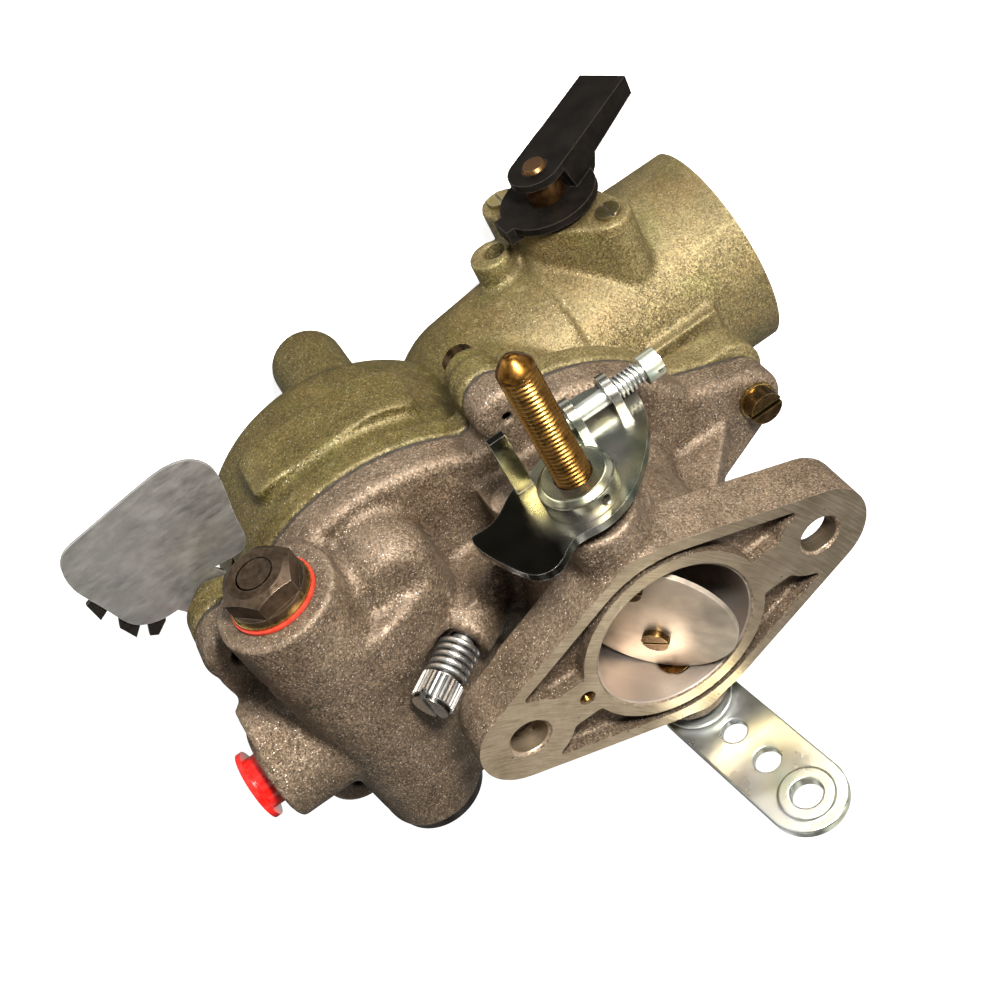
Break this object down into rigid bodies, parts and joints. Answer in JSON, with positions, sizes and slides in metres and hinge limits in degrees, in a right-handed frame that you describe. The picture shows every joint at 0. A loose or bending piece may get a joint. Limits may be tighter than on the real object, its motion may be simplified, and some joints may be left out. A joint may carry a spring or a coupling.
{
  "type": "carburetor",
  "caption": "Updraft single-barrel carburetor with two-bolt manifold flange, round side air horn, float bowl, throttle and choke levers, idle needle and fuel inlet.",
  "frame": {"origin": "centre of the manifold flange face, on the throttle bore axis", "axes": "+Z out of the manifold flange, +X towards the air horn inlet, +Y towards the choke lever and the threaded end of the throttle shaft"},
  "size_m": [0.1747, 0.1283, 0.1623],
  "materials": {
    "cast_grey": "sand cast, warm brown-grey, machined on the flange face",
    "cast_gold": "sand cast with gold-olive chromate",
    "gasket": "pressed fibre sheet",
    "fibre_red": "red fibre",
    "zinc": "bright zinc plate, faintly iridescent",
    "zinc_yellow": "yellow zinc plate",
    "dark_steel": "dark brown-grey oxide",
    "black_steel": "black oxide",
    "brass": "turned brass",
    "cap_red": "glossy red moulding",
    "seal_black": "oil-resistant rubber",
    "tag_aluminium": "scuffed sheet",
    "bare_aluminium": "turned",
    "plate_steel": "dull satin sheet",
    "lever_black": "black phosphate"
  },
  "bodies": {
    "housing": {"throttle_body": "cast_grey", "fuel_bowl": "cast_gold", "body_gasket": "gasket", "strainer_plug_gasket": "fibre_red", "strainer_plug_washer": "zinc", "strainer_plug": "dark_steel", "inlet_strainer": "brass", "passage_plug": "black_steel", "inlet_cap": "cap_red", "flange_orifice": "brass", "throttle_shaft_seal": "seal_black", "throttle_shaft_retainer": "zinc", "choke_pad_screws": "zinc_yellow", "choke_shaft_plug": "zinc", "bowl_screws": "zinc_yellow", "horn_side_screw": "zinc_yellow", "screw_lock_washers": "zinc_yellow", "id_tag": "tag_aluminium", "tag_clip": "black_steel", "venturi": "bare_aluminium", "main_discharge_nozzle": "brass", "main_jet": "brass", "idle_jet": "brass", "float_axle": "zinc", "fuel_valve_seat": "brass", "float_axle_bracket": "zinc", "idle_mixture_spring": "zinc"},
    "throttle": {"throttle_shaft": "brass", "throttle_plate": "plate_steel", "throttle_plate_screws": "zinc_yellow", "throttle_stop_lever": "zinc", "stop_lever_nut": "zinc", "throttle_lever": "zinc", "throttle_shaft_washer": "zinc", "throttle_lever_nut": "zinc", "idle_speed_spring": "zinc"},
    "idle_speed_screw": {"idle_speed_screw": "zinc"},
    "choke": {"choke_shaft": "brass", "choke_plate": "plate_steel", "choke_plate_screws": "zinc_yellow", "choke_lever": "lever_black", "choke_lever_spacer": "brass"},
    "idle_needle": {"idle_mixture_needle": "zinc"},
    "float": {"float_assembly": "brass"},
    "fuel_valve": {"fuel_valve_needle": "zinc"}
  },
  "joints": [
    {"name": "throttle_turn", "type": "hinge", "parent": "housing", "child": "throttle", "pos_m": [-0.0012, 0, -0.0094], "axis": [0, 1, 0], "range_deg": [-44, 29.5]},
    {"name": "idle_speed_screw_turn", "type": "hinge", "parent": "throttle", "child": "idle_speed_screw", "pos_m": [0.014, 0.0446, -0.0255], "axis": [1, 0, 0], "range_deg": [-360, 360]},
    {"name": "choke_turn", "type": "hinge", "parent": "housing", "child": "choke", "pos_m": [0.039, 0, -0.0982], "axis": [0, 1, 0], "range_deg": [-24, 51]},
    {"name": "idle_needle_turn", "type": "hinge", "parent": "housing", "child": "idle_needle", "pos_m": [-0.0379, 0.01, -0.0244], "axis": [0.7931, 0, -0.6091], "range_deg": [-540, 540]},
    {"name": "float_swing", "type": "hinge", "parent": "housing", "child": "float", "pos_m": [-0.071, 0, -0.0575], "axis": [0, 1, 0], "range_deg": [0, 11.5]},
    {"name": "fuel_valve_slide", "type": "slide", "parent": "housing", "child": "fuel_valve", "axis": [0, 0, -1], "range_m": [0, 0.0012]}
  ],
  "couplings": [
    {"joint": "fuel_valve_slide", "follows": "float_swing", "m_per_rad": 0.0057}
  ]
}
